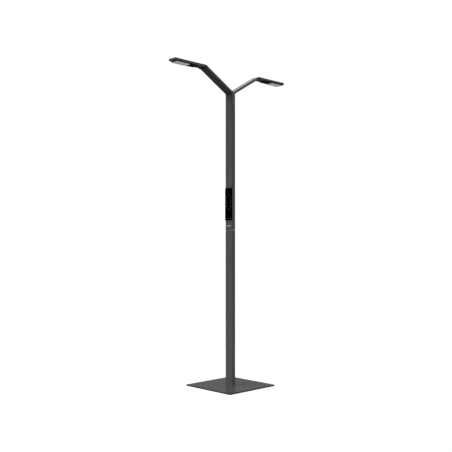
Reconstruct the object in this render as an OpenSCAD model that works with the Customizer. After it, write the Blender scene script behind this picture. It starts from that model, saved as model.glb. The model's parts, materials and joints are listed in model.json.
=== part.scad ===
// Twin-head floor lamp: a square base plate, a flat column in two lengths,
// a fork with two arms, and a tilting light head on the end of each arm.
//
// Frame: +Z up, the origin is on the floor under the middle of the base.
// -Y is the front, the broad column face with the touch panel. The front arm
// reaches towards -Y and the rear arm towards +Y. X runs along the hinges.
// Sizes are in millimetres and angles in degrees.

/* [Base] */
// Side of the square base plate
base_w = 400; // [300:10:500]
// Thickness of the base plate
base_t = 8; // [7:1:15]
// Diameter of each floor pad
pad_d = 30; // [20:1:40]
// How far the floor pads stand out below the plate
pad_proud = 0.6; // [0.4:0.1:1.4]

/* [Column] */
// Width of the column's broad face, and of the arms and heads
column_w = 60; // [58:1:70]
// Depth of the column; an arm and a head are half as thick
column_d = 28; // [26:1:30]
// Wall of the column, arm and head profiles
wall = 2.5; // [2:0.1:2.5]
// Height of the seam between the two column lengths
seam_z = 992; // [940:1:1000]
// Height of the crotch, where the arms' top faces meet
crotch_z = 1880; // [1700:1:1950]

/* [Arms and heads] */
// Lean of each arm from the vertical
arm_lean = 60; // [50:1:70]
// Distance from the column's middle to each elbow's top corner
elbow_y = 236; // [200:1:300]
// Length of a head, from the elbow's top corner to its tip
head_reach = 252; // [250:1:300]
// Tilt of the front head as it stands, tip up
front_tilt = 0.6; // [-30:0.1:15]
// Tilt of the rear head as it stands, tip up
rear_tilt = -0.5; // [-30:0.1:15]

/* [Light unit] */
// Width of the black light unit under a head
unit_w = 52; // [52:1:56]
// Length of the light unit
unit_len = 173; // [165:1:180]
// How far the light unit's black housing hangs below the head
unit_drop = 5; // [4.5:0.5:7]
// Distance from the light unit to the head's tip
unit_tip_gap = 13; // [12:1:16]
// Width of the diffuser
diffuser_w = 49; // [44:1:50]
// Length of the diffuser
diffuser_len = 104; // [80:1:104]
// How far the diffuser stands out below the housing
diffuser_proud = 3; // [2:0.5:4]

/* [Touch panel] */
// Height of the touch panel
panel_h = 207; // [190:1:220]
// Width of the touch panel, a little wider than the column
panel_w = 64; // [60:1:68]
// Height of the panel's lower edge above the floor
panel_z = 1058; // [1050:1:1200]
// Thickness of the panel's glass
glass_t = 1.4; // [1.1:0.1:1.6]
// How far the panel's printed face stands out of the column
panel_proud = 2.4; // [2.2:0.1:5]

/* [Hidden] */
$fn = 64;

// Colours
COAT = [0.19, 0.195, 0.2];
CAST = [0.17, 0.175, 0.18];
BLACK = [0.03, 0.03, 0.035];
STEEL = [0.72, 0.73, 0.75];
BARE = [0.62, 0.63, 0.65];
RUBBER = [0.08, 0.08, 0.08];
OPAL = [0.85, 0.86, 0.86];
BOARD = [0.1, 0.32, 0.18];
PRINT = [0.55, 0.57, 0.58];

// Clearances
slip = 0.2;          // between an insert and the profile around it
screw_gap = 0.05;    // around a screw in its hole
run_gap = 0.05;      // around the hinge bolt in a turning knuckle
turn_gap = 0.4;      // between a turning knuckle and the piece around it

// Profiles
edge_r = 0.8;        // outer edges of the column, arms and heads
bore_r = 0.6;        // inner edges of the same profiles
bar_t = column_d / 2;
inner_w = column_w - 2 * wall;
inner_d = column_d - 2 * wall;
inner_t = bar_t - 2 * wall;

// Base and foot
base_top = pad_proud + base_t;
base_corner_r = 1.5;
pad_t = 2.6;
pad_inset = 32;
foot_h = 60;
foot_top = base_top + foot_h;
foot_bolt_x = 15;
foot_bolt_d = 8;
foot_bolt_head_d = 13;
foot_bolt_head_h = 4.5;
foot_screw_x = 24;
foot_screw_z = base_top + 30;

// Screws: every countersunk head is twice its thread's diameter
big_screw_d = 4;
big_screw_len = 8;
small_screw_d = 3;
small_screw_len = 10;
carrier_screw_len = 4;

// Mains lead entry, on the column's rear face
gland_z = 110;
gland_neck_d = 12;
gland_flange_d = 19;
gland_flange_t = 2;
gland_bore_d = 7.5;
gland_len = 10;
gland_nut_t = 4;

// Electrical carrier inside the lower column
rail_t = 1.5;
rail_y = -column_d / 2 + wall + 1.2;
rail_face_y = rail_y + rail_t;
rail_w = 44;
rail_top = 560;
carrier_tab_y = rail_y + 9;
terminal_z = 140;
terminal_h = 30;
terminal_w = 30;
terminal_d = 12;
terminal_rows = [8, 22];
clamp_d = 4.4;
wire_places = [-8, 0, 8];
wire_y = rail_face_y + 7;
wire_d = 2.4;
driver_z = 200;
driver_h = 300;
driver_w = 36;
driver_d = 14.3;
ear_h = 10;
harness_y = 3;
harness_d = 5;
harness_top = crotch_z - 12;

// Seam and joiner
ring_t = 1.5;
joiner_below = 65;
joiner_above = 45;
joiner_side = 9.3;
joiner_skin = 3;
joiner_screw_z = seam_z + 6;
joiner_low_x = 22.5;
joiner_low_z = seam_z - 34;

// Arms, elbows and heads
rise = 90 - arm_lean;
knuckle_r = 9.5;
elbow_z = crotch_z + elbow_y * tan(rise);
hinge_y = elbow_y + knuckle_r * tan(rise / 2);
hinge_z = elbow_z - knuckle_r;
hinge_run = elbow_y / cos(rise) - knuckle_r * tan(rise / 2);
profile_start = knuckle_r + 2;
slab_mid = knuckle_r - bar_t / 2;
slab_low = knuckle_r - bar_t;
overhang_cut = 5.5;
knuckle_half = 11.5;
washer_t = 1;
washer_d = 14;
outer_start = knuckle_half + washer_t + 0.2;
bolt_d = 6;
bolt_head_d = 11;
nut_across = 10;
nut_t = 5;
tongue_len = 36;
tongue_h = inner_t - 2 * slip;
tongue_w = inner_w - 2 * slip;
neck_screw = profile_start + 12;
neck_screw_x = 18;
head_len = head_reach - knuckle_r * tan(rise / 2);
cap_t = 2;

// Fork insert
fork_depth = 100;
prong_len = 70;
fork_bore_d = 14;
cable_d = 4;
cable_bore_d = 5;
fork_screw_z = crotch_z - 68;
arm_screw_run = 35;

// Light unit, measured out from the hinge and up from it
unit_end = head_len - unit_tip_gap;
unit_start = unit_end - unit_len;
unit_low = slab_low - unit_drop;
unit_wall = 1.8;
unit_skin = 1.6;
unit_corner_r = 3;
unit_mid = (unit_start + unit_end) / 2;
diffuser_end = unit_end - 2;
diffuser_start = diffuser_end - diffuser_len;
diffuser_mid = (diffuser_start + diffuser_end) / 2;
diffuser_skin = 1.5;
spigot_w = diffuser_w - 4;
spigot_len = diffuser_len - 6;
lip_out = 1;
lip_t = 1;
lip_top = unit_low + unit_skin + lip_t;
window_w = unit_w - 3;
spreader_t = 3;
spreader_w = inner_w - 2 * (slip + bore_r);
spreader_low = knuckle_r - wall - spreader_t;
led_board_t = 1.6;
led_board_w = 43;
led_board_low = spreader_low - led_board_t;
led_board_start = diffuser_start - 14;
led_board_end = diffuser_end - 3;
led_board_tail_w = 20;
led_side = 3;
led_t = 0.7;
led_rows = 4;
led_columns = 12;
led_end_gap = 8;
led_side_gap = 7.5;
plug_size = [10, 8, 3];
plug_overhang = 1;
lead_d = 3;
lead_v = 1.5;
boss_r = 3.6;
boss_h = spreader_low - unit_low;
unit_screw_x = 19;
unit_screw_len = boss_h + 2.5;
unit_screws = [unit_start + 7, diffuser_start - 9];

// Touch panel
front_y = -column_d / 2;
icon_t = 0.1;
gasket_t = 0.3;
glass_y = front_y - panel_proud + icon_t;
glass_back = glass_y + glass_t;
gasket_y = front_y - gasket_t;
panel_mid = panel_z + panel_h / 2;
panel_corner_r = 4;
tray_w = 49.6;
tray_h = panel_h - 14.4;
tray_wall = 1.6;
tray_back = front_y + 7;
clip_w = 16;
clip_h = 8;
clip_reach = 4;
clip_t = 1;
panel_board_t = 1.6;
panel_board_w = 46;
board_back = glass_back + panel_board_t;
plug_up = 18;
plug_back = board_back + 4;
// Parts on the touch board: middle across and up, width, height and thickness
board_parts = [
    [0, plug_up, 12, 8, plug_back - board_back],
    [0, 69, 18, 18, 2],
    [8.5, 114, 9, 9, 1.5],
    [-10, 143, 12, 7, 2.5]
];
ribbon_w = 10;
ribbon_t = 1;
ribbon_y = tray_back + slip;
ribbon_len = 40;
ribbon_hole_d = 8;
badge_z = panel_z - 36;
badge_w = 36;
badge_h = 6;
badge_t = 0.6;

// Printed marks: how far out the side columns are, and heights on the panel
mark_x = 17.5;
dots_up = 12;
minus_up = 71;
small_marks_up = 89;
bars_up = 118;
large_marks_up = 148;
power_up = 166;
mark_line = 0.7;
bar_line = 0.4;
bar_len = 40;
dot_r = 1.2;
dot_pitch = 3;

// ---------------------------------------------------------------- helpers

// Centred rectangle with round corners
module round_rect(w, d, r) {
    square([w - 2 * r, d], center = true);
    square([w, d - 2 * r], center = true);
    for (x = [-1, 1], y = [-1, 1])
        translate([x * (w / 2 - r), y * (d / 2 - r)]) circle(r);
}

// Box given by its low corner and its size
module block(low, size) translate(low) cube(size);

// Round bar along X between two places
module bar_x(r, from, to)
    translate([from, 0, 0]) rotate([0, 90, 0]) cylinder(h = to - from, r = r);

// Round bar along Y between two places
module bar_y(r, from, to)
    translate([0, from, 0]) rotate([-90, 0, 0]) cylinder(h = to - from, r = r);

// Hollow column profile from one height to another
module column_tube(low, high)
    translate([0, 0, low]) linear_extrude(high - low) difference() {
        round_rect(column_w, column_d, edge_r);
        round_rect(inner_w, inner_d, bore_r);
    }

// Outline of an arm or a head, swept along Y about the hinge's height
module bar_slab(from, to)
    translate([0, from, slab_mid]) rotate([-90, 0, 0])
        linear_extrude(to - from) round_rect(column_w, bar_t, edge_r);

// The hollow of the same bar
module bar_hollow(from, to)
    translate([0, from, slab_mid]) rotate([-90, 0, 0])
        linear_extrude(to - from) round_rect(inner_w, inner_t, bore_r);

// Outline in Y and Z swept along X, centred
module across(w) rotate([90, 0, 90]) linear_extrude(w, center = true) children();

// Countersunk screw: its flat face at z = 0 and its thread running down
module sunk_screw(d, len)
    difference() {
        union() {
            translate([0, 0, -d / 2]) cylinder(h = d / 2, r1 = d / 2, r2 = d);
            translate([0, 0, -len]) cylinder(h = len - d / 2, r = d / 2);
        }
        translate([0, 0, -d * 0.4]) cylinder(h = d, r = d * 0.45, $fn = 6);
    }

// Hole for a countersunk screw
module sunk_hole(d, len) {
    translate([0, 0, -d / 2]) cylinder(h = d / 2, r1 = d / 2 + screw_gap, r2 = d + screw_gap);
    translate([0, 0, -len - screw_gap]) cylinder(h = len, r = d / 2 + screw_gap);
    cylinder(h = d, r = d + screw_gap);
}

// Low cylinder-head screw: under its head at z = 0, its thread running down
module cap_screw(d, head_d, head_h, len)
    difference() {
        union() {
            cylinder(h = head_h, r = head_d / 2);
            translate([0, 0, -len]) cylinder(h = len, r = d / 2);
        }
        translate([0, 0, head_h / 2]) cylinder(h = head_h, r = d * 0.42, $fn = 6);
    }

// Places for screws that enter the column through its two narrow faces
module on_narrow_faces(z)
    for (turn = [90, -90]) translate([0, 0, z]) rotate([0, turn, 0])
        translate([0, 0, column_w / 2]) children();

// Places for a pair of screws that enter the column through its rear face
module on_rear_face(x, z)
    for (s = [-1, 1]) translate([s * x, column_d / 2, z]) rotate([-90, 0, 0]) children();

module at_foot_bolts() for (s = [-1, 1]) translate([s * foot_bolt_x, 0, 0]) children();

module at_pads()
    for (x = [-1, 1], y = [-1, 1])
        translate([x * (base_w / 2 - pad_inset), y * (base_w / 2 - pad_inset), 0]) children();

// A shape drawn on the rear side, put on that side (1) or on the front side (-1)
module on_side(s) {
    if (s > 0) children();
    else mirror([0, 1, 0]) children();
}

// Arm's own frame: +Y along the arm from the crotch, +Z out of its top face
module along_arm(s) on_side(s) translate([0, 0, crotch_z]) rotate([rise, 0, 0]) children();

// The same frame moved to the hinge's axis
module at_elbow(s) along_arm(s) translate([0, hinge_run, -knuckle_r]) children();

// Head's own frame: +Y from the hinge's axis to the tip, +Z up
module at_head(s)
    on_side(s) translate([0, hinge_y, hinge_z])
        rotate([s > 0 ? rear_tilt : front_tilt, 0, 0]) children();

// Everything above (1) or below (-1) the rear arm's mitre plane
module mitre_side(up)
    translate([0, 0, crotch_z]) rotate([-rise, 0, 0])
        block([-column_w, up > 0 ? 0 : -column_w, up > 0 ? 0 : -2 * column_w],
              [2 * column_w, up > 0 ? column_w : 3 * column_w, 2 * column_w]);

// -------------------------------------------------------------------- base

module base_plate()
    color(COAT) difference() {
        translate([0, 0, pad_proud]) linear_extrude(base_t) round_rect(base_w, base_w, base_corner_r);
        at_pads() cylinder(h = pad_t + slip / 2, r = pad_d / 2 + slip);
        at_foot_bolts() {
            cylinder(h = 2 * base_top, r = foot_bolt_d / 2 + slip);
            cylinder(h = pad_proud + foot_bolt_head_h + 0.5, r = foot_bolt_head_d / 2 + 0.5);
        }
    }

module base_pads() color(RUBBER) at_pads() cylinder(h = pad_t, r = pad_d / 2);

module foot_block()
    color(STEEL) difference() {
        translate([0, 0, base_top]) linear_extrude(foot_h)
            round_rect(inner_w - 2 * slip, inner_d - 2 * slip, bore_r);
        at_foot_bolts() translate([0, 0, base_top - 1])
            cylinder(h = foot_h - 14, r = foot_bolt_d / 2 + screw_gap);
        on_rear_face(foot_screw_x, foot_screw_z) sunk_hole(big_screw_d, big_screw_len);
        at_carrier_screws() carrier_hole();
    }

module foot_bolts()
    color(STEEL) at_foot_bolts() translate([0, 0, pad_proud + foot_bolt_head_h + 0.5])
        mirror([0, 0, 1]) cap_screw(foot_bolt_d, foot_bolt_head_d, foot_bolt_head_h, foot_h - 15);

module foot_screws()
    color(STEEL) on_rear_face(foot_screw_x, foot_screw_z) sunk_screw(big_screw_d, big_screw_len);

// ------------------------------------------------------------ lower column

module lower_column()
    color(COAT) difference() {
        column_tube(base_top, seam_z - ring_t / 2);
        on_rear_face(foot_screw_x, foot_screw_z) sunk_hole(big_screw_d, big_screw_len);
        on_rear_face(joiner_low_x, joiner_low_z) sunk_hole(big_screw_d, big_screw_len);
        translate([0, 0, gland_z]) bar_y(gland_neck_d / 2 + slip / 2, 0, column_d);
    }

// Bush that the mains lead passes through
module lead_gland()
    color(BLACK) translate([0, column_d / 2, gland_z]) difference() {
        union() {
            bar_y(gland_flange_d / 2, 0, gland_flange_t);
            bar_y(gland_neck_d / 2, gland_flange_t - gland_len, gland_flange_t);
        }
        bar_y(gland_bore_d / 2, -gland_len, gland_len);
    }

module gland_nut()
    color(BLACK) translate([0, inner_d / 2, gland_z]) rotate([90, 0, 0]) difference() {
        cylinder(h = gland_nut_t, r = 9, $fn = 6);
        translate([0, 0, -1]) cylinder(h = gland_nut_t + 2, r = gland_neck_d / 2 + screw_gap);
    }

// Steel strip that carries the terminal block and the driver
module carrier_rail()
    color(STEEL) difference() {
        union() {
            block([-rail_w / 2, rail_y, foot_top], [rail_w, rail_t, rail_top - foot_top]);
            block([-rail_w / 4, rail_y, foot_top], [rail_w / 2, column_d / 2, rail_t]);
        }
        at_carrier_screws() carrier_hole();
    }

// Places of the three carrier screws, under their heads
module at_carrier_screws() {
    translate([0, carrier_tab_y, foot_top + rail_t]) children();
    for (z = [driver_z - ear_h / 2, driver_z + driver_h + ear_h / 2])
        translate([0, rail_face_y + rail_t, z]) rotate([-90, 0, 0]) children();
}

// Hole for a carrier screw, with room for its tip
module carrier_hole()
    translate([0, 0, -carrier_screw_len - 1])
        cylinder(h = 3 * carrier_screw_len, r = big_screw_d / 2 + screw_gap);

module carrier_screws()
    color(STEEL) at_carrier_screws() cap_screw(big_screw_d, 7, 2.4, carrier_screw_len);

module terminal_block()
    color(OPAL) difference() {
        block([-terminal_w / 2, rail_face_y, terminal_z], [terminal_w, terminal_d, terminal_h]);
        for (x = wire_places, z = terminal_rows) translate([x, 0, terminal_z + z])
            bar_y(clamp_d / 2, rail_face_y + terminal_d - 3, rail_face_y + 2 * terminal_d);
    }

module led_driver()
    color(STEEL) difference() {
        union() {
            block([-driver_w / 2, rail_face_y, driver_z], [driver_w, driver_d, driver_h]);
            block([-driver_w / 4, rail_face_y, driver_z - ear_h],
                  [driver_w / 2, rail_t, driver_h + 2 * ear_h]);
        }
        at_carrier_screws() carrier_hole();
    }

// Wires from the terminal block to the driver
module driver_leads()
    color(BLACK) for (x = wire_places) translate([x, wire_y, terminal_z + terminal_h])
        cylinder(h = driver_z - terminal_z - terminal_h, r = wire_d / 2);

// Low-voltage cable from the driver to the fork
module output_harness()
    color(BLACK) translate([0, harness_y, driver_z + driver_h])
        cylinder(h = harness_top - driver_z - driver_h, r = harness_d / 2);

// --------------------------------------------------------------- the seam

module column_joiner()
    color(BARE) difference() {
        translate([0, 0, seam_z - joiner_below]) linear_extrude(joiner_below + joiner_above)
            difference() {
                round_rect(inner_w - 2 * slip, inner_d - 2 * slip, bore_r);
                round_rect(inner_w - 2 * (slip + joiner_side), inner_d - 2 * (slip + joiner_skin),
                           bore_r);
            }
        on_rear_face(joiner_low_x, joiner_low_z) sunk_hole(big_screw_d, big_screw_len);
        on_narrow_faces(joiner_screw_z) sunk_hole(big_screw_d, big_screw_len);
    }

module joiner_screws()
    color(STEEL) {
        on_narrow_faces(joiner_screw_z) sunk_screw(big_screw_d, big_screw_len);
        on_rear_face(joiner_low_x, joiner_low_z) sunk_screw(big_screw_d, big_screw_len);
    }

module seam_ring() color(BARE) column_tube(seam_z - ring_t / 2, seam_z + ring_t / 2);

module upper_column()
    color(COAT) difference() {
        column_tube(seam_z + ring_t / 2, crotch_z);
        for (s = [-1, 1]) on_side(s) mitre_side(1);
        on_narrow_faces(joiner_screw_z) sunk_hole(big_screw_d, big_screw_len);
        on_narrow_faces(fork_screw_z) sunk_hole(small_screw_d, small_screw_len);
        panel_prism(tray_w + 2 * slip, tray_h + 2 * slip, 2, -column_d, 0);
    }

// ------------------------------------------------------------ touch panel

// Upright rounded plate, its middle on the panel's, between two places in Y
module panel_prism(w, h, r, from, to)
    translate([0, to, panel_mid]) rotate([90, 0, 0]) linear_extrude(to - from) round_rect(w, h, r);

module panel_gasket()
    color(RUBBER) difference() {
        panel_prism(column_w - 2, panel_h - 4, panel_corner_r - 1, gasket_y, front_y);
        panel_prism(tray_w + slip, tray_h + slip, 2, gasket_y - 1, front_y + 1);
    }

// Plastic frame under the glass, with a tray that enters the column
module panel_housing()
    color(BLACK) difference() {
        union() {
            panel_prism(panel_w, panel_h, panel_corner_r, glass_back, gasket_y);
            panel_prism(tray_w, tray_h, 2, gasket_y - 0.5, tray_back);
        }
        panel_prism(tray_w - 2 * tray_wall, tray_h - 2 * tray_wall, 1,
                    glass_back - 1, tray_back - tray_wall);
        translate([0, 0, panel_z + plug_up]) bar_y(ribbon_hole_d / 2, -column_d, column_d);
    }

// Spring clips that hold the tray's ends behind the column's wall
module panel_clips()
    color(STEEL) for (s = [0, 1]) translate([0, 0, panel_mid]) mirror([0, 0, s]) {
        block([-clip_w / 2, front_y + wall, tray_h / 2], [clip_w, clip_reach, clip_t]);
        block([-clip_w / 2, front_y + wall, tray_h / 2], [clip_w, clip_t, clip_h]);
    }

module touch_board()
    color(BOARD) {
        panel_prism(panel_board_w, tray_h - 2 * tray_wall - 1, 1, glass_back, board_back);
        for (part = board_parts)
            block([part[0] - part[2] / 2, board_back, panel_z + part[1] - part[3] / 2],
                  [part[2], part[4], part[3]]);
    }

module panel_glass()
    color(BLACK) panel_prism(panel_w, panel_h, panel_corner_r, glass_y, glass_back);

// A printed mark on the glass, drawn about its own middle in X and Z
module printed(x, up)
    translate([x, glass_y, panel_z + up]) rotate([90, 0, 0]) linear_extrude(icon_t) children();

module ring_mark(r)
    difference() {
        circle(r);
        circle(r - mark_line);
    }

// Ring open at the top, with a bar in the gap
module power_mark() {
    difference() {
        ring_mark(3.6);
        translate([-1.1, 0]) square([2.2, 5]);
    }
    translate([-mark_line / 2, 0.5]) square([mark_line, 4]);
}

// Disc with short rays
module sun_mark(r) {
    circle(r * 0.45);
    for (a = [0:45:315]) rotate(a) translate([r * 0.62, -0.3]) square([r * 0.38, 0.6]);
}

module panel_icons()
    color(PRINT) {
        printed(0, power_up) power_mark();
        printed(-mark_x, large_marks_up) sun_mark(3.2);
        printed(mark_x, large_marks_up) ring_mark(2.8);
        for (s = [-1, 1]) printed(s * mark_x, bars_up) square([bar_line, bar_len], center = true);
        printed(-mark_x, small_marks_up) sun_mark(2.4);
        printed(mark_x, small_marks_up) {
            ring_mark(2.8);
            circle(1.2);
        }
        printed(0, minus_up) {
            ring_mark(3.4);
            square([2.8, mark_line], center = true);
        }
        // One, two and three dots
        for (k = [-1, 0, 1]) printed(k * mark_x, dots_up) for (dot = [0 : k + 1])
            translate([(dot - (k + 1) / 2) * dot_pitch, 0]) circle(dot_r);
    }

// Ribbon from the touch board down into the column
module panel_lead()
    color(BLACK) {
        block([-ribbon_w / 2, ribbon_y, panel_z + plug_up + ribbon_t - ribbon_len],
              [ribbon_w, ribbon_t, ribbon_len]);
        block([-ribbon_w / 4, plug_back, panel_z + plug_up],
              [ribbon_w / 2, ribbon_y - plug_back, ribbon_t]);
    }

// Plain plate without any mark
module blank_badge()
    color(OPAL) translate([0, front_y, badge_z]) rotate([90, 0, 0])
        linear_extrude(badge_t) round_rect(badge_w, badge_h, badge_h / 2 - 0.01);

// ------------------------------------------------------------ fork and arms

// Room for the cables: one way up the spigot and one along each prong
module fork_bores() {
    translate([0, 0, crotch_z - fork_depth - 1])
        cylinder(h = fork_depth + 1 - bar_t * tan(rise) - 0.5, r = fork_bore_d / 2);
    for (s = [-1, 1]) along_arm(s) translate([0, 0, -bar_t / 2])
        bar_y(cable_bore_d / 2, 2, prong_len + 1);
}

// Solid insert that joins the upper column and both arms
module fork_insert() {
    half = inner_d / 2 - slip;
    roof = 0.2;
    color(BARE) difference() {
        union() {
            across(inner_w - 2 * slip) polygon([
                [-half, crotch_z - fork_depth], [half, crotch_z - fork_depth],
                [half, crotch_z - roof - half * tan(rise)], [0, crotch_z - roof],
                [-half, crotch_z - roof - half * tan(rise)]
            ]);
            for (s = [-1, 1]) along_arm(s) across(inner_w - 2 * slip) polygon([
                [0, -wall - slip], [prong_len, -wall - slip], [prong_len, wall + slip - bar_t],
                [(bar_t - wall - slip) * tan(rise), wall + slip - bar_t]
            ]);
        }
        fork_bores();
        on_narrow_faces(fork_screw_z) sunk_hole(small_screw_d, small_screw_len);
        for (s = [-1, 1]) at_arm_screw(s) sunk_hole(small_screw_d, small_screw_len);
    }
}

module fork_screws()
    color(STEEL) on_narrow_faces(fork_screw_z) sunk_screw(small_screw_d, small_screw_len);

// Place of the screw that holds an arm on its prong, on the far narrow side
module at_arm_screw(s)
    along_arm(s) translate([-column_w / 2, arm_screw_run, -bar_t / 2]) rotate([0, -90, 0]) children();

// Places of the screws that hold a profile on a knuckle's tongue, from below
module at_neck_screws()
    for (x = [-1, 1]) translate([x * neck_screw_x, neck_screw, slab_low]) rotate([180, 0, 0]) children();

// The same places on the arm's side of the elbow
module at_yoke_screws(s) at_elbow(s) mirror([0, 1, 0]) at_neck_screws() children();

// Hollow arm, mitred on the column's top and ending at the elbow
module arm(s)
    color(COAT) difference() {
        along_arm(s) translate([0, 0, -knuckle_r]) difference() {
            bar_slab(-10, hinge_run - profile_start);
            bar_hollow(-11, hinge_run);
        }
        on_side(s) mitre_side(-1);
        at_arm_screw(s) sunk_hole(small_screw_d, small_screw_len);
        at_yoke_screws(s) sunk_hole(small_screw_d, small_screw_len);
    }

module front_arm() arm(-1);
module rear_arm() arm(1);

module arm_screws()
    color(STEEL) for (s = [-1, 1]) {
        at_arm_screw(s) sunk_screw(small_screw_d, small_screw_len);
        at_yoke_screws(s) sunk_screw(small_screw_d, small_screw_len);
    }

module arm_cables()
    color(BLACK) for (s = [-1, 1])
        along_arm(s) translate([0, 0, -bar_t / 2]) bar_y(cable_d / 2, 4, hinge_run - profile_start);

// ------------------------------------------------------------------- elbow

// Tongue of a knuckle piece, inside the profile, drawn towards +Y
module tongue(bore_v, bore_d)
    difference() {
        block([-tongue_w / 2, profile_start - 0.5, slab_mid - tongue_h / 2],
              [tongue_w, tongue_len, tongue_h]);
        translate([0, 0, bore_v]) bar_y(bore_d / 2, 0, tongue_len + 2 * profile_start);
        at_neck_screws() sunk_hole(small_screw_d, small_screw_len);
    }

// Bar end across the full width, hollowed to clear the other piece's knuckles
module neck(bore_v, bore_d)
    difference() {
        bar_slab(overhang_cut, profile_start);
        bar_x(knuckle_r + turn_gap, -column_w, column_w);
        translate([0, 0, bore_v]) bar_y(bore_d / 2, 0, 2 * profile_start);
    }

// Arm's end piece: its two outer knuckles take the hinge bolt
module yoke(s)
    color(CAST) at_elbow(s) mirror([0, 1, 0]) {
        tongue(slab_mid, cable_bore_d);
        neck(slab_mid, cable_bore_d);
        difference() {
            union() {
                bar_slab(0, profile_start);
                bar_x(knuckle_r, -column_w / 2, column_w / 2);
            }
            block([-outer_start, -column_w, -column_w],
                  [2 * outer_start, 2 * column_w, 2 * column_w]);
            bar_x(bolt_d / 2 + run_gap, -column_w, column_w);
            translate([column_w / 2, 0, 0]) rotate([0, 90, 0]) bolt_head_room();
            bar_x_hex(nut_across + 0.2, -column_w, nut_t + 0.3 - column_w / 2);
        }
    }

module front_yoke() yoke(-1);
module rear_yoke() yoke(1);

// Hexagonal bar along X
module bar_x_hex(across_flats, from, to)
    translate([from, 0, 0]) rotate([0, 90, 0])
        cylinder(h = to - from, r = across_flats / 2 / cos(30), $fn = 6);

// Countersink for the hinge bolt's head
module bolt_head_room() {
    cone_h = (bolt_head_d - bolt_d) / 2;
    translate([0, 0, -cone_h])
        cylinder(h = cone_h, r1 = bolt_d / 2 + run_gap, r2 = bolt_head_d / 2 + run_gap);
}

module hinge_bolt() {
    cone_h = (bolt_head_d - bolt_d) / 2;
    difference() {
        union() {
            bar_x(bolt_d / 2, 0.6 - column_w / 2, column_w / 2 - cone_h);
            translate([column_w / 2 - cone_h, 0, 0]) rotate([0, 90, 0])
                cylinder(h = cone_h, r1 = bolt_d / 2, r2 = bolt_head_d / 2);
        }
        bar_x_hex(4, column_w / 2 - 3, column_w);
    }
}

module hinge_bolts() color(BLACK) for (s = [-1, 1]) at_elbow(s) hinge_bolt();

module hinge_nuts()
    color(BLACK) for (s = [-1, 1]) at_elbow(s) difference() {
        bar_x_hex(nut_across, -column_w / 2 + 0.2, nut_t - column_w / 2 + 0.2);
        bar_x(bolt_d / 2 + screw_gap, -column_w, column_w);
    }

module friction_washers()
    color("peru") for (s = [-1, 1], x = [-1, 1]) at_elbow(s) difference() {
        bar_x(washer_d / 2, x * (knuckle_half + 0.1 + washer_t / 2) - washer_t / 2,
              x * (knuckle_half + 0.1 + washer_t / 2) + washer_t / 2);
        bar_x(bolt_d / 2 + run_gap, -column_w, column_w);
    }

// ------------------------------------------------------------------- heads

// Head's end piece: its middle knuckle turns on the hinge bolt
module head_knuckle(s)
    color(CAST) at_head(s) {
        tongue(lead_v, lead_d + 1);
        neck(lead_v, lead_d + 1);
        difference() {
            union() {
                bar_x(knuckle_r, -knuckle_half, knuckle_half);
                block([-knuckle_half, 0, slab_low], [2 * knuckle_half, profile_start, bar_t]);
            }
            bar_x(bolt_d / 2 + run_gap, -column_w, column_w);
            translate([0, 0, lead_v]) bar_y(lead_d / 2 + 0.5, bolt_d, 2 * profile_start);
        }
    }

module head_shell(s)
    color(COAT) at_head(s) difference() {
        bar_slab(profile_start, head_len - cap_t);
        bar_hollow(profile_start - 1, head_len);
        translate([0, unit_mid, slab_low - 1]) linear_extrude(wall + 2)
            round_rect(window_w, unit_len - 6, 1);
        at_neck_screws() sunk_hole(small_screw_d, small_screw_len);
    }

module end_cap(s)
    color(CAST) at_head(s) {
        bar_slab(head_len - cap_t, head_len);
        block([-tongue_w / 2, head_len - cap_t - 8, slab_mid - tongue_h / 2],
              [tongue_w, 8.5, tongue_h]);
    }

// Places of the screws that hold the light unit, from below
module at_unit_screws()
    for (y = unit_screws, x = [-1, 1])
        translate([x * unit_screw_x, y, unit_low]) rotate([180, 0, 0]) children();

module head_screws(s)
    color(STEEL) at_head(s) {
        at_neck_screws() sunk_screw(small_screw_d, small_screw_len);
        at_unit_screws() sunk_screw(small_screw_d, unit_screw_len);
    }

// Black tray under the head, with the diffuser's window in its bottom
module light_housing(s)
    color(BLACK) at_head(s) difference() {
        union() {
            translate([0, unit_mid, unit_low]) difference() {
                linear_extrude(unit_drop) round_rect(unit_w, unit_len, unit_corner_r);
                translate([0, 0, unit_skin]) linear_extrude(unit_drop) round_rect(
                    unit_w - 2 * unit_wall, unit_len - 2 * unit_wall, unit_corner_r - unit_wall);
            }
            at_unit_screws() mirror([0, 0, 1]) cylinder(h = boss_h, r = boss_r);
        }
        translate([0, diffuser_mid, unit_low - 1]) linear_extrude(unit_skin + 2)
            round_rect(spigot_w + slip, spigot_len + slip, 1);
        at_unit_screws() sunk_hole(small_screw_d, unit_screw_len);
    }

module heat_spreader(s)
    color(BARE) at_head(s) difference() {
        block([-spreader_w / 2, unit_start, spreader_low], [spreader_w, unit_len - 4, spreader_t]);
        at_unit_screws() sunk_hole(small_screw_d, 2 * unit_screw_len);
    }

module led_board(s)
    color(OPAL) at_head(s) {
        block([-led_board_w / 2, diffuser_start - 3, led_board_low],
              [led_board_w, led_board_end - diffuser_start + 3, led_board_t]);
        block([-led_board_tail_w / 2, led_board_start, led_board_low],
              [led_board_tail_w, diffuser_start - led_board_start, led_board_t]);
        block([-plug_size[0] / 2, led_board_start - plug_overhang, led_board_low - plug_size[2]],
              plug_size);
    }

module leds(s)
    color("khaki") at_head(s) {
        pitch_y = (diffuser_len - 2 * led_end_gap) / (led_columns - 1);
        pitch_x = (diffuser_w - 2 * led_side_gap) / (led_rows - 1);
        for (i = [0 : led_rows - 1], j = [0 : led_columns - 1])
            block([(i - (led_rows - 1) / 2) * pitch_x - led_side / 2,
                   diffuser_start + led_end_gap + j * pitch_y - led_side / 2, led_board_low - led_t],
                  [led_side, led_side, led_t]);
    }

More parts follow.
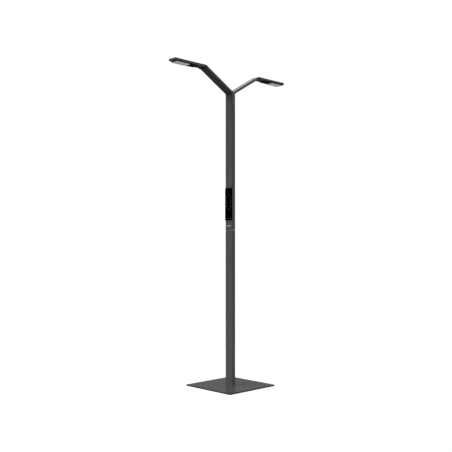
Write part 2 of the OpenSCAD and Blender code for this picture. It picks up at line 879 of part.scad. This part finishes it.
// White frame that flares from the LED board down to the diffuser
module reflector(s) {
    low = lip_top;
    high = led_board_low;
    skin = 1;
    flare = 2.5;
    half_w = spigot_w / 2 + lip_out;
    half_l = spigot_len / 2 + lip_out;
    color(OPAL) at_head(s) translate([0, diffuser_mid, 0]) intersection() {
        union() {
            for (x = [-1, 1]) mirror([x > 0 ? 0 : 1, 0, 0]) rotate([90, 0, 0])
                linear_extrude(2 * half_l, center = true) flared_wall(half_w, low, high, skin, flare);
            for (y = [-1, 1]) mirror([0, y > 0 ? 0 : 1, 0])
                across(2 * half_w) flared_wall(half_l, low, high, skin, flare);
        }
        rotate([90, 0, 0]) linear_extrude(2 * half_l, center = true)
            flared_outline(half_w, low, high, flare);
        across(2 * half_w) flared_outline(half_l, low, high, flare);
    }
}

// Section of one reflector wall, leaning inwards towards its top
module flared_wall(half, low, high, skin, flare)
    polygon([[half - skin, low], [half, low], [half - flare, high], [half - flare - skin, high]]);

// Outline of the whole reflector, seen from one side
module flared_outline(half, low, high, flare)
    polygon([[-half, low], [half, low], [half - flare, high], [flare - half, high]]);

// Shallow box under the housing, with a spigot through the window and a lip behind it
module diffuser(s)
    color(OPAL) at_head(s) translate([0, diffuser_mid, unit_low]) difference() {
        union() {
            translate([0, 0, -diffuser_proud]) linear_extrude(diffuser_proud)
                round_rect(diffuser_w, diffuser_len, 1.5);
            linear_extrude(unit_skin + lip_t) round_rect(spigot_w, spigot_len, 0.8);
            translate([0, 0, unit_skin]) linear_extrude(lip_t)
                round_rect(spigot_w + 2 * lip_out, spigot_len + 2 * lip_out, 1);
        }
        translate([0, 0, diffuser_skin - diffuser_proud])
            linear_extrude(diffuser_proud + unit_skin + lip_t)
                round_rect(spigot_w - 2 * diffuser_skin, spigot_len - 2 * diffuser_skin, 0.8);
    }

module head_lead(s)
    color(BLACK) at_head(s) translate([0, 0, lead_v])
        bar_y(lead_d / 2, profile_start, led_board_start - plug_overhang);

module front_head_knuckle() head_knuckle(-1);
module front_head_shell() head_shell(-1);
module front_end_cap() end_cap(-1);
module front_head_screws() head_screws(-1);
module front_light_housing() light_housing(-1);
module front_heat_spreader() heat_spreader(-1);
module front_led_board() led_board(-1);
module front_leds() leds(-1);
module front_reflector() reflector(-1);
module front_diffuser() diffuser(-1);
module front_head_lead() head_lead(-1);
module rear_head_knuckle() head_knuckle(1);
module rear_head_shell() head_shell(1);
module rear_end_cap() end_cap(1);
module rear_head_screws() head_screws(1);
module rear_light_housing() light_housing(1);
module rear_heat_spreader() heat_spreader(1);
module rear_led_board() led_board(1);
module rear_leds() leds(1);
module rear_reflector() reflector(1);
module rear_diffuser() diffuser(1);
module rear_head_lead() head_lead(1);

// ------------------------------------------------------------------- nodes

base_plate();
base_pads();
foot_block();
foot_bolts();
foot_screws();
lower_column();
lead_gland();
gland_nut();
carrier_rail();
carrier_screws();
terminal_block();
led_driver();
driver_leads();
output_harness();
column_joiner();
joiner_screws();
seam_ring();
upper_column();
panel_gasket();
panel_housing();
panel_clips();
touch_board();
panel_glass();
panel_icons();
panel_lead();
blank_badge();
fork_insert();
fork_screws();
front_arm();
rear_arm();
arm_screws();
arm_cables();
front_yoke();
rear_yoke();
hinge_bolts();
hinge_nuts();
friction_washers();
front_head_knuckle();
front_head_shell();
front_end_cap();
front_head_screws();
front_light_housing();
front_heat_spreader();
front_led_board();
front_leds();
front_reflector();
front_diffuser();
front_head_lead();
rear_head_knuckle();
rear_head_shell();
rear_end_cap();
rear_head_screws();
rear_light_housing();
rear_heat_spreader();
rear_led_board();
rear_leds();
rear_reflector();
rear_diffuser();
rear_head_lead();
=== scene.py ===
"""Looks of the twin-head floor lamp: materials, detail pieces, studio light and camera.

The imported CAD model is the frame. Every length is in metres, +Z is up, -Y is the
front with the touch panel, and +X is the narrow side with the bright screws.
"""

import json
import math

import bpy
from mathutils import Matrix, Vector


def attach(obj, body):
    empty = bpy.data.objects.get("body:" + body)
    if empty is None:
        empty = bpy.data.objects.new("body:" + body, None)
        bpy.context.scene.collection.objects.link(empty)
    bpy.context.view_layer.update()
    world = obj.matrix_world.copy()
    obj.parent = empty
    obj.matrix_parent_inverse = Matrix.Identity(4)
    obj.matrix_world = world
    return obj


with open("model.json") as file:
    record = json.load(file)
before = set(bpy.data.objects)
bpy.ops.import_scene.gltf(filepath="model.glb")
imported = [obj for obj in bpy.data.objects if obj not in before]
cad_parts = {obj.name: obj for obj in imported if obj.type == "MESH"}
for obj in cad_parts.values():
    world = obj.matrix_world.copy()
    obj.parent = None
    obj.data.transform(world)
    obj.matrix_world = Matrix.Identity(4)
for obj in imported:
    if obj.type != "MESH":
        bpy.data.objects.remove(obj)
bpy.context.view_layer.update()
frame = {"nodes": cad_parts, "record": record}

MM = 0.001
NODES = frame["nodes"]
RECORD = frame["record"]
SIDES = ("front", "rear")


# ------------------------------------------------------------------ camera

CAMERA_PLACE = Vector((3.31863, -3.25270, 0.91579))
CAMERA_LOOKS = Vector((-0.71819, 0.69548, 0.02272))
SENSOR_WIDTH = 36.0
LENS = 57.67


def make_camera():
    data = bpy.data.cameras.new("camera")
    data.sensor_width = SENSOR_WIDTH
    data.lens = LENS
    data.clip_end = 60.0
    camera = bpy.data.objects.new("camera", data)
    camera.location = CAMERA_PLACE
    camera.rotation_euler = CAMERA_LOOKS.to_track_quat("-Z", "Y").to_euler()
    bpy.context.scene.collection.objects.link(camera)
    bpy.context.scene.camera = camera


# ----------------------------------------------------------- node helpers


def map_range(tree, value, start, end, low, high, curve="LINEAR"):
    """A value carried from one range to another, and held at its ends."""
    node = tree.nodes.new("ShaderNodeMapRange")
    node.interpolation_type = curve
    node.inputs["From Min"].default_value = start
    node.inputs["From Max"].default_value = end
    node.inputs["To Min"].default_value = low
    node.inputs["To Max"].default_value = high
    tree.links.new(value, node.inputs["Value"])
    return node.outputs["Result"]


class Shader:
    """A node material under construction: a short way to add and join nodes."""

    def __init__(self, name):
        self.material = bpy.data.materials.new(name)
        self.material.use_nodes = True
        self.tree = self.material.node_tree
        self.bsdf = self.tree.nodes["Principled BSDF"]
        self.coords = self.tree.nodes.new("ShaderNodeTexCoord").outputs["Object"]

    def add(self, kind, **settings):
        node = self.tree.nodes.new(kind)
        for key, value in settings.items():
            setattr(node, key, value)
        return node

    def join(self, source, target):
        self.tree.links.new(source, target)

    def plain(self, **values):
        """Numbers and colours that are the same all over the surface."""
        for key, value in values.items():
            self.bsdf.inputs[key.replace("_", " ")].default_value = value

    def stretched(self, scale):
        """The object's coordinates, scaled by a different amount on each axis."""
        mapping = self.add("ShaderNodeMapping")
        mapping.inputs["Scale"].default_value = scale
        self.join(self.coords, mapping.inputs["Vector"])
        return mapping.outputs["Vector"]

    def noise(self, scale, detail=2.0, vector=None):
        node = self.add("ShaderNodeTexNoise")
        node.inputs["Scale"].default_value = scale
        node.inputs["Detail"].default_value = detail
        self.join(vector or self.coords, node.inputs["Vector"])
        return node.outputs["Fac"]

    def spread(self, value, low, high):
        """Noise, which stays between about 0.3 and 0.7, spread from low to high."""
        return map_range(self.tree, value, 0.3, 0.7, low, high)

    def painted_upright_shade(self, upright):
        """A factor that is 1 on level faces and less on upright ones: painted shade that darkens faces
        which aren't level.
        """
        geometry = self.add("ShaderNodeNewGeometry")
        parts = self.add("ShaderNodeSeparateXYZ")
        self.join(geometry.outputs["Normal"], parts.inputs["Vector"])
        return map_range(self.tree, parts.outputs["Z"], 0.0, 1.0, upright, 1.0)

    def tint(self, colour, value, low, high, shade=None):
        """The base colour, made darker and lighter by a spread of noise and any further shade."""
        factor = self.spread(value, low, high)
        if shade is not None:
            product = self.add("ShaderNodeMath", operation="MULTIPLY")
            self.join(factor, product.inputs[0])
            self.join(shade, product.inputs[1])
            factor = product.outputs["Value"]
        mix = self.add("ShaderNodeVectorMath", operation="SCALE")
        mix.inputs[0].default_value = colour[:3]
        self.join(factor, mix.inputs["Scale"])
        self.join(mix.outputs["Vector"], self.bsdf.inputs["Base Color"])

    def roughness(self, value, low, high):
        self.join(self.spread(value, low, high), self.bsdf.inputs["Roughness"])

    def bump(self, height, depth, strength, under=None):
        node = self.add("ShaderNodeBump")
        node.inputs["Distance"].default_value = depth
        node.inputs["Strength"].default_value = strength
        self.join(height, node.inputs["Height"])
        if under is not None:
            self.join(under, node.inputs["Normal"])
        self.join(node.outputs["Normal"], self.bsdf.inputs["Normal"])
        return node.outputs["Normal"]


# ---------------------------------------------------------------- materials

# How far a powder coat's roughness wanders from its mean
COAT_PATCHES = 0.01


def powder_coat(name, colour, rough, shine, grain, peel, upright=1.0):
    """Satin powder coat, a fine grain over a slow orange peel; upright is a painted shade that darkens
    faces that aren't level.
    """
    s = Shader(name)
    # Painted shade: faces that aren't level are made darker, down to the factor upright
    s.tint(colour, s.noise(9.0, 3.0), 0.95, 1.05, s.painted_upright_shade(upright))
    s.roughness(s.noise(60.0, 3.0), rough - COAT_PATCHES, rough + COAT_PATCHES)
    s.plain(Specular_IOR_Level=shine)
    slow = s.bump(s.noise(220.0, 2.0), 0.00006, peel)
    s.bump(s.noise(1700.0, 2.0), 0.00003, grain, under=slow)
    return s.material


def moulded_plastic(name, colour, rough, shine):
    """Moulded plastic with a fine spark-eroded grain."""
    s = Shader(name)
    s.tint(colour, s.noise(30.0, 2.0), 0.94, 1.06)
    s.roughness(s.noise(400.0, 2.0), rough - 0.04, rough + 0.05)
    s.plain(Specular_IOR_Level=shine)
    s.bump(s.noise(2600.0, 2.0), 0.00003, 0.35)
    return s.material


def milled_metal(name, colour, rough, stretch, mirror):
    """Bare metal with fine lines drawn along one direction; mirror is how metallic it looks."""
    s = Shader(name)
    lines = s.noise(1.0, 3.0, s.stretched(stretch))
    s.tint(colour, lines, 0.9, 1.08)
    s.roughness(lines, rough - 0.06, rough + 0.08)
    s.plain(Metallic=mirror)
    s.bump(lines, 0.00002, 0.3)
    return s.material


def plated_steel(name, colour, rough, mirror):
    """Bright or blackened fasteners, with faint turning marks and handling wear."""
    s = Shader(name)
    s.tint(colour, s.noise(500.0, 3.0), 0.88, 1.08)
    s.roughness(s.noise(900.0, 2.0), rough - 0.05, rough + 0.1)
    s.plain(Metallic=mirror)
    s.bump(s.noise(3000.0, 2.0), 0.00001, 0.4)
    return s.material


def black_glass(name):
    """Polished glass with an opaque black print behind it."""
    s = Shader(name)
    s.tint((0.0006, 0.0006, 0.0007), s.noise(18.0, 2.0), 0.9, 1.1)
    s.roughness(s.noise(35.0, 3.0), 0.03, 0.07)
    s.plain(Specular_IOR_Level=0.3)
    return s.material


def opal_with_painted_glow(name):
    """Unlit milky diffuser with a faint emission: a painted glow, standing in for the room's light
    passing through it, so it's never quite dark.
    """
    s = Shader(name)
    s.tint((0.8, 0.805, 0.81), s.noise(45.0, 2.0), 0.96, 1.03)
    s.roughness(s.noise(700.0, 2.0), 0.35, 0.45)
    # Emission on an unlit diffuser: painted glow
    s.plain(Specular_IOR_Level=0.4, Emission_Color=(0.97, 0.98, 1.0, 1.0), Emission_Strength=0.17)
    return s.material


def screen_print(name):
    """Faint grey ink."""
    s = Shader(name)
    s.tint((0.36, 0.37, 0.38), s.noise(800.0, 2.0), 0.85, 1.1)
    s.roughness(s.noise(600.0, 2.0), 0.45, 0.6)
    s.plain(Specular_IOR_Level=0.2)
    return s.material


def soft_rubber(name, colour):
    """Matt rubber or cable sheath."""
    s = Shader(name)
    s.tint(colour, s.noise(120.0, 3.0), 0.85, 1.15)
    s.roughness(s.noise(300.0, 3.0), 0.6, 0.8)
    s.plain(Specular_IOR_Level=0.3)
    s.bump(s.noise(1500.0, 2.0), 0.00005, 0.4)
    return s.material


def circuit_board(name, colour):
    """Solder mask with a faint grid of copper tracks under it."""
    s = Shader(name)
    tracks = s.add("ShaderNodeTexBrick", offset=0.5)
    tracks.inputs["Scale"].default_value = 260.0
    tracks.inputs["Mortar Size"].default_value = 0.03
    s.join(s.coords, tracks.inputs["Vector"])
    s.tint(colour, tracks.outputs["Fac"], 1.0, 0.8)
    s.plain(Roughness=0.35)
    s.bump(tracks.outputs["Fac"], 0.00003, 0.4)
    return s.material


def led_resin(name):
    """Yellow phosphor under clear resin."""
    s = Shader(name)
    s.tint((0.8, 0.6, 0.12), s.noise(900.0, 2.0), 0.9, 1.08)
    s.plain(Roughness=0.25, Coat_Weight=0.6, Coat_Roughness=0.08)
    return s.material


GRAPHITE = (0.116, 0.1165, 0.1165)
BASE_GREY = (0.088, 0.0885, 0.0885)
CAST_GREY = (0.085, 0.0855, 0.0855)
# Painted shade: the base plate's upright edges are darker than its top
PAINTED_EDGE_SHADE = 0.6
# Fine lines drawn along X, by stretching the noise
ALONG_X = (40.0, 2600.0, 2600.0)

MATERIALS = {
    # The base plate's coat carries painted shade on its upright edges
    "coated_steel": powder_coat("coated_steel", BASE_GREY, 0.26, 0.3, 0.06, 0.04, PAINTED_EDGE_SHADE),
    "coated_aluminium": powder_coat("coated_aluminium", GRAPHITE, 0.46, 0.3, 0.3, 0.2),
    "coated_casting": powder_coat("coated_casting", CAST_GREY, 0.46, 0.3, 0.2, 0.3),
    "black_plastic": moulded_plastic("black_plastic", (0.0045, 0.0046, 0.005), 0.5, 0.12),
    "white_plastic": moulded_plastic("white_plastic", (0.78, 0.78, 0.76), 0.4, 0.5),
    "white_board": circuit_board("white_board", (0.8, 0.81, 0.8)),
    "circuit_board": circuit_board("circuit_board", (0.02, 0.11, 0.05)),
    "steel": plated_steel("steel", (0.8, 0.81, 0.82), 0.34, 0.35),
    "black_steel": plated_steel("black_steel", (0.035, 0.035, 0.037), 0.4, 1.0),
    "driver_case": plated_steel("driver_case", (0.6, 0.61, 0.62), 0.4, 0.3),
    "washer_bronze": plated_steel("washer_bronze", (0.45, 0.28, 0.12), 0.35, 1.0),
    "bare_aluminium": milled_metal("bare_aluminium", (0.44, 0.45, 0.46), 0.42, ALONG_X, 0.45),
    "badge_metal": milled_metal("badge_metal", (0.72, 0.73, 0.74), 0.4, ALONG_X, 0.25),
    "rubber": soft_rubber("rubber", (0.018, 0.018, 0.018)),
    "cable_sheath": soft_rubber("cable_sheath", (0.015, 0.015, 0.016)),
    "opal": opal_with_painted_glow("opal"),
    "led_phosphor": led_resin("led_phosphor"),
    "panel_glass": black_glass("panel_glass"),
    "panel_print": screen_print("panel_print"),
}


def dress_nodes():
    """Gives every CAD node the material of its slot in the record."""
    for part in RECORD["subparts"]:
        node = NODES[part["node"]]
        node.data.materials.clear()
        node.data.materials.append(MATERIALS[part["material_slot"]])


# -------------------------------------------------------------- edge finish

BEVELS = {
    "base_plate": 0.7,
    "panel_glass": 0.35,
    "panel_housing": 0.2,
    "blank_badge": 0.2,
    "front_end_cap": 0.25,
    "rear_end_cap": 0.25,
    "front_light_housing": 0.35,
    "rear_light_housing": 0.35,
    "front_yoke": 0.25,
    "rear_yoke": 0.25,
    "front_head_knuckle": 0.25,
    "rear_head_knuckle": 0.25,
    "lead_gland": 0.3,
}


def soften_edges():
    """Small rounded edges that catch the light, on the pieces whose CAD edges are sharp."""
    for name, width in BEVELS.items():
        bevel = NODES[name].modifiers.new("edge", "BEVEL")
        bevel.width = width * MM
        bevel.segments = 2
        bevel.limit_method = "ANGLE"
        bevel.angle_limit = math.radians(40)
        bevel.harden_normals = True


# ------------------------------------------------------------ detail pieces

# The hinges, in millimetres and degrees: the same values as in part.scad
KNUCKLE_R = 9.5
KNUCKLE_HALF = 11.5
TURN_GAP = 0.4
BAR_HALF_W = 30.0
HEAD_TILT = {"front": 0.6, "rear": -0.5}
HINGE = {joint["child"].split("_")[0]: Vector(joint["pos_m"]) for joint in RECORD["behaviour"]["joints"]}

# The black bands in the turning gap, painted shade that darkens the inside of each elbow: their
# thickness, their ends along X and the arcs they cover
LAP = 0.02
SHADE_BAND_INNER_R = KNUCKLE_R + LAP
SHADE_BAND_OUTER_R = KNUCKLE_R + 0.75 * TURN_GAP
FIXED_SHADE_BAND = (KNUCKLE_HALF + 1.3, BAR_HALF_W - 0.6)
TURNING_SHADE_BAND = KNUCKLE_HALF - 0.2
FIXED_ARC = (-124, -10)
TURNING_ARC = (-140, -30)
ARC_STEPS = 18

# The diffuser's lower face in its head's frame, and the prisms on it
DIFFUSER_MID = 182.5
DIFFUSER_LOW = -12.5
PRISM_FIELD = (45.0, 100.0)
PRISM_COUNT = (22, 50)
PRISM_DEPTH = 0.5


def side_frame(side, tilt):
    """Frame on the hinge's axis: +Y away from the column, tipped up by an angle."""
    turn = math.pi if side == "front" else 0.0
    place = Matrix.Translation(HINGE[side]) @ Matrix.Rotation(turn, 4, "Z")
    return place @ Matrix.Rotation(math.radians(tilt), 4, "X") @ Matrix.Scale(MM, 4)


def add_piece(name, points, faces, place, slot, body):
    """A new piece, moved to its place, that rides on a body and takes the material of the slot it is
    given.
    """
    mesh = bpy.data.meshes.new(name)
    mesh.from_pydata([place @ Vector(point) for point in points], [], faces)
    mesh.materials.append(MATERIALS[slot])
    piece = bpy.data.objects.new(name, mesh)
    bpy.context.scene.collection.objects.link(piece)
    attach(piece, body)
    return piece


def arc_band(low_x, high_x, start, end):
    """Closed band round the hinge's axis, in the turning gap, between two angles from +Y."""
    section = (
        (SHADE_BAND_INNER_R, low_x),
        (SHADE_BAND_OUTER_R, low_x),
        (SHADE_BAND_OUTER_R, high_x),
        (SHADE_BAND_INNER_R, high_x),
    )
    points = []
    for k in range(ARC_STEPS + 1):
        angle = math.radians(start + (end - start) * k / ARC_STEPS)
        for radius, x in section:
            points.append((x, radius * math.cos(angle), radius * math.sin(angle)))
    faces = [(0, 3, 2, 1), tuple(4 * ARC_STEPS + i for i in range(4))]
    for k in range(ARC_STEPS):
        for i in range(4):
            j = (i + 1) % 4
            faces.append((4 * k + i, 4 * k + j, 4 * k + 4 + j, 4 * k + 4 + i))
    return points, faces


def merged(*parts):
    """Several point and face lists as one."""
    points, faces = [], []
    for part_points, part_faces in parts:
        faces += [tuple(i + len(points) for i in face) for face in part_faces]
        points += part_points
    return points, faces


def add_elbow_shade_bands():
    """Black bands in the turning gap that darken the inside of each elbow: painted shade."""
    near, far = FIXED_SHADE_BAND
    for side in SIDES:
        # Black plastic bands put where the elbow is in shade: painted shade
        fixed = merged(arc_band(-far, -near, *FIXED_ARC), arc_band(near, far, *FIXED_ARC))
        add_piece(side + "_yoke_shade_bands", *fixed, side_frame(side, 0), "black_plastic", "stand")
        turning = arc_band(-TURNING_SHADE_BAND, TURNING_SHADE_BAND, *TURNING_ARC)
        add_piece(side + "_knuckle_shade_band", *turning, side_frame(side, HEAD_TILT[side]),
                  "black_plastic", side + "_head")


def prism_field():
    """Field of small pyramids that hang from the diffuser's lower face."""
    columns, rows = PRISM_COUNT
    width, length = PRISM_FIELD
    step_x = width / columns
    step_y = length / rows
    points = []
    for j in range(rows + 1):
        y = j * step_y - length / 2 + DIFFUSER_MID
        for i in range(columns + 1):
            points.append((i * step_x - width / 2, y, DIFFUSER_LOW + LAP))
    faces = []
    for j in range(rows):
        for i in range(columns):
            corner = j * (columns + 1) + i
            ring = (corner, corner + 1, corner + columns + 2, corner + columns + 1)
            x, y, z = points[corner]
            points.append((x + step_x / 2, y + step_y / 2, z - PRISM_DEPTH))
            tip = len(points) - 1
            faces += [(ring[(k + 1) % 4], ring[k], tip) for k in range(4)]
    return points, faces


def add_prism_sheets():
    """The fine prisms on the lower face of each diffuser."""
    for side in SIDES:
        add_piece(side + "_prism_sheet", *prism_field(), side_frame(side, HEAD_TILT[side]),
                  "opal", side + "_head")


# -------------------------------------------------------------------- stage

FLOOR_RADIUS = 1.6
FLOOR_LIFT = 0.4
FLOOR_BOUNCE = (0.38, 0.38, 0.38, 1.0)
WHITE = (1.0, 1.0, 1.0, 1.0)


def make_floor():
    """Pale floor, as white as the surroundings apart from the soft shadow at the base.

    Rays that light the lamp from below meet a darker floor than the camera sees, as in
    a studio where the object stands on a small white table in a dim room.
    """
    bpy.ops.mesh.primitive_circle_add(vertices=96, radius=FLOOR_RADIUS, fill_type="NGON")
    floor = bpy.context.object
    floor.name = "floor"
    s = Shader("pale_floor")
    s.plain(Base_Color=(0.86, 0.86, 0.86, 1.0), Roughness=0.9, Specular_IOR_Level=0.1)
    s.plain(Emission_Color=WHITE, Emission_Strength=FLOOR_LIFT)
    bounce = s.add("ShaderNodeBsdfDiffuse")
    bounce.inputs["Color"].default_value = FLOOR_BOUNCE
    rays = s.add("ShaderNodeLightPath")
    mix = s.add("ShaderNodeMixShader")
    s.join(rays.outputs["Is Camera Ray"], mix.inputs["Fac"])
    s.join(bounce.outputs["BSDF"], mix.inputs[1])
    s.join(s.bsdf.outputs["BSDF"], mix.inputs[2])
    s.join(mix.outputs["Shader"], s.tree.nodes["Material Output"].inputs["Surface"])
    floor.data.materials.append(s.material)


# The light from the surroundings, from the height RIM_Z of the unit sphere up to TOP_Z
SKY_RIM = 0.1
SKY_TOP = 0.5
RIM_Z = -0.2
TOP_Z = 0.65
# A dark card at the front left, as the cosines of the cones where it ends and where it's full
CARD_DIRECTION = (-0.72, -0.69, 0.02)
CARD_OUTER = 0.85
CARD_INNER = 0.97
BACKDROP = 1.05


def make_world():
    """Surroundings that look white, whose light grows from a dim horizon to a bright ceiling."""
    world = bpy.data.worlds.new("studio")
    bpy.context.scene.world = world
    world.use_nodes = True
    tree = world.node_tree
    tree.nodes.clear()
    new, link = tree.nodes.new, tree.links.new
    coords = new("ShaderNodeTexCoord")
    parts = new("ShaderNodeSeparateXYZ")
    link(coords.outputs["Generated"], parts.inputs["Vector"])
    level = map_range(tree, parts.outputs["Z"], RIM_Z, TOP_Z, SKY_RIM, SKY_TOP, "SMOOTHSTEP")
    card = new("ShaderNodeVectorMath")
    card.operation = "DOT_PRODUCT"
    card.inputs[1].default_value = CARD_DIRECTION
    link(coords.outputs["Generated"], card.inputs[0])
    shade = map_range(tree, card.outputs["Value"], CARD_OUTER, CARD_INNER, 1.0, 0.0, "SMOOTHSTEP")
    carded = new("ShaderNodeMath")
    carded.operation = "MULTIPLY"
    link(level, carded.inputs[0])
    link(shade, carded.inputs[1])
    light = new("ShaderNodeBackground")
    link(carded.outputs["Value"], light.inputs["Strength"])
    seen = new("ShaderNodeBackground")
    seen.inputs["Color"].default_value = WHITE
    seen.inputs["Strength"].default_value = BACKDROP
    rays = new("ShaderNodeLightPath")
    mix = new("ShaderNodeMixShader")
    link(rays.outputs["Is Camera Ray"], mix.inputs["Fac"])
    link(light.outputs["Background"], mix.inputs[1])
    link(seen.outputs["Background"], mix.inputs[2])
    out = new("ShaderNodeOutputWorld")
    link(mix.outputs["Shader"], out.inputs["Surface"])


# Each large soft lamp: the compass direction it stands in (0 is the front, 90 is the
# narrow side with the screws), its height angle, its apparent width and its strength.
KEY_LIGHT = (-25.0, 46.0, 42.0, 1.7)
SIDE_LIGHT = (80.0, 20.0, 60.0, 0.6)
SUN_DISTANCE = 5.0
# The small lamp behind, which brightens the top of the rear arm
BACK_PLACE = (-1.54, 1.29, 3.0)
BACK_AIM = (0.0, 0.13, 1.95)
BACK_SIZE = 0.9
BACK_POWER = 5.5


def soft_lamp(name, compass, height, width, strength):
    data = bpy.data.lights.new(name, "SUN")
    data.angle = math.radians(width)
    data.energy = strength
    lamp = bpy.data.objects.new(name, data)
    turn = math.radians(compass)
    rise = math.radians(height)
    reach = math.cos(rise)
    towards = Vector((math.sin(turn) * reach, -math.cos(turn) * reach, math.sin(rise)))
    lamp.location = towards * SUN_DISTANCE
    lamp.rotation_euler = (-towards).to_track_quat("-Z", "Y").to_euler()
    bpy.context.scene.collection.objects.link(lamp)


def back_lamp():
    data = bpy.data.lights.new("back_light", "AREA")
    data.size = BACK_SIZE
    data.energy = BACK_POWER
    lamp = bpy.data.objects.new("back_light", data)
    lamp.location = BACK_PLACE
    looks = Vector(BACK_AIM) - Vector(BACK_PLACE)
    lamp.rotation_euler = looks.to_track_quat("-Z", "Y").to_euler()
    lamp.visible_camera = False
    bpy.context.scene.collection.objects.link(lamp)


def make_lights():
    soft_lamp("key_light", *KEY_LIGHT)
    soft_lamp("side_light", *SIDE_LIGHT)
    back_lamp()


# --------------------------------------------------------------------- build

make_camera()
make_world()
make_lights()
make_floor()
dress_nodes()
soften_edges()
add_elbow_shade_bands()
add_prism_sheets()

view = bpy.context.scene.view_settings
view.view_transform = "Standard"
view.look = "None"
